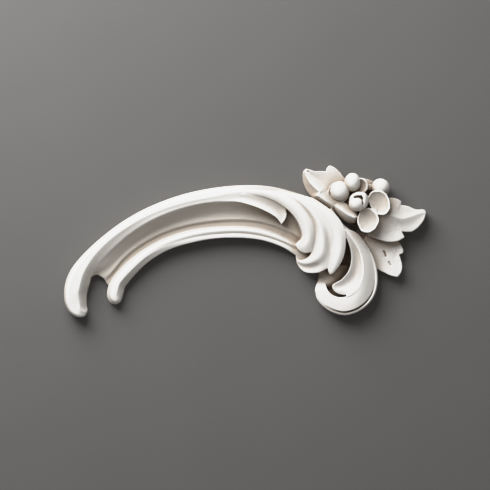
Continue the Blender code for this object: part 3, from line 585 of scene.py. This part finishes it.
def carve_flower(clay):
    """Five petals round a bud, on a mound: open ones at the right and below, a folded one at the lower left
    and two small ones above, with balls among them and a berry behind."""
    ball(clay, 1, standing(FLOWER_X + 3, FLOWER_Z, 0, stretch=(26, 24, 13)))
    right_petal = [11.0, 11.0, 12.1, 12.8, 13.9, 12.7, 9.5, 8.8, 8.8, 11.6, 13.0, 12.4]
    petal(clay, right_petal, 12, 3.2, standing(133.5, 41.5, 20.2, tilt_x=-6, tilt_z=4))
    lower_petal = [10.6, 10.6, 10.9, 12.9, 13.4, 11.4, 11.2, 11.4, 13.0, 12.6, 11.2, 10.2]
    petal(clay, lower_petal, 14, 2.7, standing(123, 24.5, 21.4, tilt_x=-4, tilt_z=10))
    outer = [
        (87.8, 39.6, 15), (90.2, 34, 13.5), (94.5, 28.4, 13), (100, 24, 13), (106, 21.8, 13),
        (110.6, 22.8, 14), (112.6, 27, 15),
    ]
    rim = [
        (87.8, 39.6, 15), (91.4, 38.2, 19), (96.4, 35, 21.4), (101, 31.4, 22.4), (106, 28.6, 22.6),
        (110, 27.4, 22), (112.6, 28.6, 18),
    ]
    inner = [
        (88, 41.6, 15), (93, 43, 16.4), (99, 42.4, 17), (104, 39, 17.6), (108.4, 35.4, 18),
        (112.4, 32.4, 16),
    ]
    carve(clay, [outer, rim, inner], [0.14, -0.1], sharp=(1,))
    left_petal = [10.8] * 8
    petal(clay, left_petal, 8, 4, standing(93.2, 52.4, 17.6, tilt_x=-8, tilt_z=-8))
    ball(clay, 9.4, standing(94.7, 54, 17, stretch=(1, 1.02, 0.84)))
    ball(clay, 8.8, standing(107.4, 62.6, 15.5, stretch=(0.92, 1.06, 1)))
    top_petal = [7.2, 7.6, 8.2, 8.8, 9, 8.6, 7.8, 7.2]
    petal(clay, top_petal, 10, 2.2, standing(115.8, 58.9, 18.2, tilt_x=-14, tilt_z=-10))
    ball(clay, 9.3, standing(135.4, 57.1, 11))
    ball(clay, 3.2, standing(124.5, 58, 13))
    carve_bud(clay)


def carve_bud(clay):
    """The bud, with two of its own petals folded round it."""
    ball(clay, 9.6, standing(113, 43, 10.5))
    ball(clay, 8.2, standing(111.7, 41.6, 19.2, stretch=(1, 0.98, 0.95)))
    top_outer = [(103.6, 43, 20), (104.4, 47.6, 20), (107.6, 51, 20), (112.6, 53, 20), (117.6, 52.6, 20)]
    top_inner = [
        (107, 44.4, 23.4), (108.6, 46.8, 24.6), (111.4, 48.6, 25), (114.6, 49.4, 25), (117.6, 49.4, 24),
    ]
    carve(clay, [top_outer, top_inner], [0.42])
    side_outer = [(117, 53, 20), (121, 50.8, 19.5), (123.2, 46, 19), (122.8, 40.4, 19), (119.6, 36, 19)]
    side_inner = [
        (115.6, 49.8, 23.6), (117.4, 47.4, 25), (117.6, 44, 25.4), (116.8, 40.6, 25), (115.4, 37.4, 24),
    ]
    carve(clay, [side_outer, side_inner], [0.42])


def carve_ornament():
    """All the forms, still overlapping, in one mesh."""
    clay = bmesh.new()
    for form in (
        carve_rim, carve_cove, carve_bead, carve_curl, carve_second_lobe, carve_third_lobe,
        carve_fourth_lobe, carve_acanthus_ground, carve_volute, carve_upper_leaf, carve_side_leaf,
        carve_lower_leaf, carve_flower,
    ):
        form(clay)
    mesh = bpy.data.meshes.new("plaster_relief")
    clay.to_mesh(mesh)
    clay.free()
    obj = bpy.data.objects.new("plaster_relief", mesh)
    bpy.context.scene.collection.objects.link(obj)
    return obj


def apply_modifiers(obj):
    view = obj.evaluated_get(bpy.context.evaluated_depsgraph_get())
    mesh = bpy.data.meshes.new_from_object(view)
    old = obj.data
    obj.modifiers.clear()
    obj.data = mesh
    bpy.data.meshes.remove(old)


# Fine lines pressed into the surface: a rail on the drawing, its half width and its depth in millimetres. Two
# are strokes on the lower leaf, one is a dot at the upper leaf's tip, and two open the bud
LINES = [
    ([(139.2, -6.4), (140.2, -8.8), (141, -11)], 1.5, 2.4),
    ([(144.2, -17.2), (146, -20)], 1.6, 1.2),
    ([(62.5, 73.5), (63.2, 73.3)], 1.2, 0.8),
    ([(109.6, 47.6), (113, 47.8), (116.6, 46.2)], 2.0, 4.4),
    ([(116.6, 46.2), (117, 43), (117.2, 40.4)], 1.2, 2.6),
]


def press_lines(obj):
    """Presses the fine lines into the front."""
    mesh = obj.data
    count = len(mesh.vertices)
    places = np.empty(count * 3)
    normals = np.empty(count * 3)
    mesh.vertices.foreach_get("co", places)
    mesh.vertices.foreach_get("normal", normals)
    places = places.reshape(-1, 3)
    facing = np.clip(-normals.reshape(-1, 3)[:, 1], 0, 1)
    for rail, reach, depth in LINES:
        curve = evenly(smooth_run([spot(x, z) for x, z in rail]), LINE_POINTS)
        nearest = np.full(count, np.inf)
        for point in curve:
            nearest = np.minimum(nearest, np.hypot(places[:, 0] - point.x, places[:, 2] - point.z))
        share = np.clip(1 - (nearest / (reach * MM)) ** 2, 0, 1) ** 2
        places[:, 1] += share * facing * depth * MM
    mesh.vertices.foreach_set("co", places.ravel())
    mesh.update()


def cut_back(obj):
    """Cuts the back flat at y = 0 and closes it."""
    bm = bmesh.new()
    bm.from_mesh(obj.data)
    everything = [*bm.verts, *bm.edges, *bm.faces]
    bmesh.ops.bisect_plane(bm, geom=everything, plane_co=(0, 0, 0), plane_no=(0, 1, 0), clear_outer=True)
    rim = [edge for edge in bm.edges if edge.is_boundary]
    bmesh.ops.triangle_fill(bm, edges=rim, use_beauty=True)
    bmesh.ops.recalc_face_normals(bm, faces=bm.faces)
    bm.to_mesh(obj.data)
    bm.free()


def cast(obj):
    """Fuses the forms into one smooth skin, presses the fine lines and cuts the back."""
    fuse = obj.modifiers.new("fuse", "REMESH")
    fuse.mode = "VOXEL"
    fuse.voxel_size = CAST_GRAIN * MM
    soften = obj.modifiers.new("soften", "SMOOTH")
    soften.factor = 0.5
    soften.iterations = 2
    apply_modifiers(obj)
    press_lines(obj)
    cut_back(obj)
    thin = obj.modifiers.new("thin", "DECIMATE")
    thin.ratio = min(1.0, MOST_TRIANGLES / (2 * len(obj.data.polygons)))
    apply_modifiers(obj)
    for polygon in obj.data.polygons:
        polygon.use_smooth = polygon.normal.y < FLAT_BACK


def height_map(places):
    """The lowest corner of the map, and the highest point over each of its cells, with the wall as zero."""
    low = places[:, [0, 2]].min(axis=0) - MARGIN * CELL
    spots = ((places[:, [0, 2]] - low) / CELL).astype(int)
    heights = np.zeros(spots.max(axis=0) + MARGIN + 1)
    np.maximum.at(heights, (spots[:, 0], spots[:, 1]), -places[:, 1])
    return low, heights


def hollow_shade(places, normals):
    """How far each point is shut in by what stands round it, which sets how much shade is painted on it: 0 in
    the open, 1 at the foot of a deep gap. What rises less steeply than a part of the point's own slope
    doesn't count."""
    low, heights = height_map(places)
    own_slope, least_outward, lift = 0.4, 0.15, 0.3
    across, outward = normals[:, [0, 2]], -normals[:, 1]
    spots = (places[:, [0, 2]] + across * CELL - low) / CELL
    own = -places[:, 1] + np.maximum(outward, 0) * lift * CELL
    closed = np.zeros(len(places))
    for turn in range(DIRECTIONS):
        bearing = math.tau * turn / DIRECTIONS
        way = np.array([math.cos(bearing), math.sin(bearing)])
        horizon = np.zeros(len(places))
        reach = NEAREST
        while reach < FARTHEST:
            there = np.clip((spots + way * reach).round().astype(int), 0, np.array(heights.shape) - 1)
            rise = (heights[there[:, 0], there[:, 1]] - own) / (reach * CELL)
            horizon = np.maximum(horizon, rise)
            reach *= STRIDE
        slope = -(across @ way) / np.maximum(outward, least_outward)
        slope = own_slope * np.maximum(slope, 0)
        seen, own_part = ((rise / np.sqrt(1 + rise ** 2)) ** 1.5 for rise in (horizon, slope))
        closed += np.maximum(seen - own_part, 0)
    return closed / DIRECTIONS


def note_painted_shade(obj):
    """Keeps on each corner of a face how far it is shut in, for the shade painted into the plaster's colour.
    The back gets none.
    """
    mesh = obj.data
    count = len(mesh.vertices)
    places, normals = np.empty(count * 3), np.empty(count * 3)
    mesh.vertices.foreach_get("co", places)
    mesh.vertices.foreach_get("normal", normals)
    closed = hollow_shade(places.reshape(-1, 3), normals.reshape(-1, 3))
    corners = np.empty(len(mesh.loops), dtype=int)
    mesh.loops.foreach_get("vertex_index", corners)
    values = closed[corners]
    for polygon in mesh.polygons:
        if not polygon.use_smooth:
            values[polygon.loop_start:polygon.loop_start + polygon.loop_total] = 0
    # The amount of shade painted into the plaster's colour in its hollows
    layer = mesh.attributes.new("hollow_shade", "FLOAT", "CORNER")
    layer.data.foreach_set("value", values)


def grain():
    """What all finishes share: slow patches of tone from 0 to 1, and a fine grain in the surface."""
    group = bpy.data.node_groups.new("grain", "ShaderNodeTree")
    for name in ("Patch Scale", "Grain Scale", "Grain Depth"):
        group.interface.new_socket(name, in_out="INPUT", socket_type="NodeSocketFloat")
    group.interface.new_socket("Patches", in_out="OUTPUT", socket_type="NodeSocketFloat")
    group.interface.new_socket("Normal", in_out="OUTPUT", socket_type="NodeSocketVector")
    nodes, links = group.nodes, group.links
    asked, given = nodes.new("NodeGroupInput"), nodes.new("NodeGroupOutput")
    place = nodes.new("ShaderNodeTexCoord")
    patches, grains = nodes.new("ShaderNodeTexNoise"), nodes.new("ShaderNodeTexNoise")
    bump = nodes.new("ShaderNodeBump")
    patches.inputs["Detail"].default_value = 5
    grains.inputs["Detail"].default_value = 3
    grains.inputs["Roughness"].default_value = 0.6
    bump.inputs["Distance"].default_value = 0.4 * MM
    for noise, scale in ((patches, "Patch Scale"), (grains, "Grain Scale")):
        links.new(place.outputs["Object"], noise.inputs["Vector"])
        links.new(asked.outputs[scale], noise.inputs["Scale"])
    links.new(asked.outputs["Grain Depth"], bump.inputs["Strength"])
    links.new(grains.outputs["Fac"], bump.inputs["Height"])
    links.new(patches.outputs["Fac"], given.inputs["Patches"])
    links.new(bump.outputs["Normal"], given.inputs["Normal"])
    return group


def over_patches(material, patches, start, end):
    """A value that goes from START to END as the patches get lighter."""
    node = material.node_tree.nodes.new("ShaderNodeMapRange")
    limits = {"From Min": PATCH_RANGE[0], "From Max": PATCH_RANGE[1], "To Min": start, "To Max": end}
    for name, value in limits.items():
        node.inputs[name].default_value = value
    material.node_tree.links.new(patches, node.inputs["Value"])
    return node.outputs["Result"]


def finish(name, colour, patch_scale, grain_scale, depth, roughness, shades):
    """A matt material with the grain. COLOUR makes its colour socket, or is the colour itself. ROUGHNESS and
    SHADES each hold the values for the darkest and the lightest patches."""
    material = bpy.data.materials.new(name)
    material.use_nodes = True
    nodes, links = material.node_tree.nodes, material.node_tree.links
    shader = nodes["Principled BSDF"]
    surface = nodes.new("ShaderNodeGroup")
    surface.node_tree = bpy.data.node_groups.get("grain") or grain()
    for socket, value in (("Patch Scale", patch_scale), ("Grain Scale", grain_scale), ("Grain Depth", depth)):
        surface.inputs[socket].default_value = value
    patches = surface.outputs["Patches"]
    links.new(over_patches(material, patches, *roughness), shader.inputs["Roughness"])
    links.new(surface.outputs["Normal"], shader.inputs["Normal"])
    shade = nodes.new("ShaderNodeMix")
    shade.data_type = "RGBA"
    shade.blend_type = "MULTIPLY"
    shade.inputs["Factor"].default_value = 1
    plain, shading = (socket for socket in shade.inputs if socket.type == "RGBA")
    shaded = next(socket for socket in shade.outputs if socket.type == "RGBA")
    if callable(colour):
        links.new(colour(material), plain)
    else:
        plain.default_value = (*colour, 1)
    links.new(over_patches(material, patches, *shades), shading)
    links.new(shaded, shader.inputs["Base Color"])
    return material


def plaster_with_painted_shade(material):
    """Off-white in the open, and painted shade, darker and warmer brown, where the plaster is shut in."""
    nodes, links = material.node_tree.nodes, material.node_tree.links
    # How much shade to paint here: the colour darkens towards brown in the hollows
    closed = nodes.new("ShaderNodeAttribute")
    closed.attribute_name = "hollow_shade"
    ramp = nodes.new("ShaderNodeValToRGB")
    elements = ramp.color_ramp.elements
    while len(elements) < len(PLASTER_AND_PAINTED_SHADE):
        elements.new(0.5)
    for element, (place, colour) in zip(elements, PLASTER_AND_PAINTED_SHADE):
        element.position = place
        element.color = (*colour, 1)
    links.new(closed.outputs["Fac"], ramp.inputs["Fac"])
    return ramp.outputs["Color"]


def plaster():
    """Cast plaster: matt, with a fine grain, and shade painted into its hollows."""
    return finish(
        "cast_plaster", plaster_with_painted_shade, patch_scale=34, grain_scale=1000, depth=0.35, roughness=(0.62, 0.86),
        shades=(0.965, 1.01),
    )


def open_from_behind(material):
    """Makes the wall clear from its back. Shadow rays shorter than NEAR pass through it too, so that light
    from behind reaches the ornament's back, which lies right before the wall."""
    near = 3 * MM
    nodes, links = material.node_tree.nodes, material.node_tree.links
    clear, mix = nodes.new("ShaderNodeBsdfTransparent"), nodes.new("ShaderNodeMixShader")
    side, path = nodes.new("ShaderNodeNewGeometry"), nodes.new("ShaderNodeLightPath")
    short, let_by, opened = (nodes.new("ShaderNodeMath") for _ in range(3))
    short.operation, let_by.operation, opened.operation = "LESS_THAN", "MULTIPLY", "MAXIMUM"
    short.inputs[1].default_value = near
    links.new(path.outputs["Ray Length"], short.inputs[0])
    links.new(short.outputs["Value"], let_by.inputs[0])
    links.new(path.outputs["Is Shadow Ray"], let_by.inputs[1])
    links.new(side.outputs["Backfacing"], opened.inputs[0])
    links.new(let_by.outputs["Value"], opened.inputs[1])
    links.new(opened.outputs["Value"], mix.inputs["Fac"])
    links.new(nodes["Principled BSDF"].outputs["BSDF"], mix.inputs[1])
    links.new(clear.outputs["BSDF"], mix.inputs[2])
    links.new(mix.outputs["Shader"], nodes["Material Output"].inputs["Surface"])


def grey_wall():
    """Dull grey wall paint, clear from behind."""
    material = finish(
        "grey_wall", WALL_GREY, patch_scale=9, grain_scale=420, depth=0.12, roughness=(0.82, 0.95),
        shades=(0.97, 1.02),
    )
    material.node_tree.nodes["Principled BSDF"].inputs["Specular IOR Level"].default_value = 0.2
    open_from_behind(material)
    return material


def pale_floor():
    """A plain pale floor with a faint grain."""
    return finish(
        "pale_floor", FLOOR_PALE, patch_scale=6, grain_scale=300, depth=0.1, roughness=(0.7, 0.85),
        shades=(0.97, 1.02),
    )


def ornament_middle():
    low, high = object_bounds()
    return (low + high) / 2


def build_stage():
    """A plain wall that shows only from its front, and a plain pale floor far below."""
    middle = ornament_middle()
    half, drop, gap = 2.0, 1.3, 0.3 * MM

    def sheet(name, turn, place, material):
        bm = bmesh.new()
        bmesh.ops.create_grid(bm, x_segments=1, y_segments=1, size=half)
        bmesh.ops.rotate(bm, matrix=Matrix.Rotation(math.radians(turn), 3, "X"), verts=bm.verts)
        bmesh.ops.translate(bm, vec=place, verts=bm.verts)
        mesh = bpy.data.meshes.new(name)
        bm.to_mesh(mesh)
        bm.free()
        mesh.materials.append(material)
        obj = bpy.data.objects.new(name, mesh)
        bpy.context.scene.collection.objects.link(obj)
        obj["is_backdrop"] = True

    sheet("backdrop", 90, (middle.x, gap, middle.z), grey_wall())
    sheet("studio_floor", 0, (middle.x, -half, middle.z - drop), pale_floor())


def build_light():
    """A large soft light above and to the left, a weak one farther to the left, one for the back, and an even
    weak light from all round."""
    middle = ornament_middle()
    for name, (place, size, watts) in LIGHTS.items():
        light = bpy.data.lights.new(name, "AREA")
        light.energy, light.size = watts, size
        obj = bpy.data.objects.new(name, light)
        obj.location = middle + Vector(place)
        obj.rotation_mode = "QUATERNION"
        obj.rotation_quaternion = (-Vector(place)).to_track_quat("-Z", "Y")
        bpy.context.scene.collection.objects.link(obj)
    world = bpy.data.worlds.new("studio")
    bpy.context.scene.world = world
    world.use_nodes = True
    background = world.node_tree.nodes["Background"]
    background.inputs["Color"].default_value = (1, 1, 1, 1)
    background.inputs["Strength"].default_value = ROOM_LIGHT


def build_camera():
    """Straight on, as in the photograph, whose middle lies at (0, 0) on the drawing. Its width on the drawing
    fills the picture halfway up the carving."""
    lens, photo_width, halfway = 200.0, 490.0, 10 * MM
    data = bpy.data.cameras.new("camera")
    data.lens = lens
    data.sensor_width = 36.0
    camera = bpy.data.objects.new("camera", data)
    distance = photo_width * SCALE * MM * lens / data.sensor_width + halfway
    camera.location = spot(0, 0, distance / MM)
    camera.rotation_euler = (math.radians(90), 0, 0)
    bpy.context.scene.collection.objects.link(camera)
    bpy.context.scene.camera = camera


def expose():
    """The photograph's tones: plain, with the brightest ones held back so that they keep their shading."""
    view = bpy.context.scene.view_settings
    view.view_transform = "Standard"
    view.use_curve_mapping = True
    tones = view.curve_mapping
    tones.white_level = (BRIGHTEST, BRIGHTEST, BRIGHTEST)
    line = tones.curves[3].points
    line[0].location = (0, 0)
    line[-1].location = (TONES[-1][0] / BRIGHTEST, TONES[-1][1])
    for light, tone in TONES[:-1]:
        line.new(light / BRIGHTEST, tone)
    tones.update()


relief = carve_ornament()
cast(relief)
# Notes how far each point is shut in, for the shade painted into the plaster's colour
note_painted_shade(relief)
relief.data.materials.append(plaster())
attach(relief, "root")
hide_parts("ornament")
build_stage()
build_light()
build_camera()
expose()
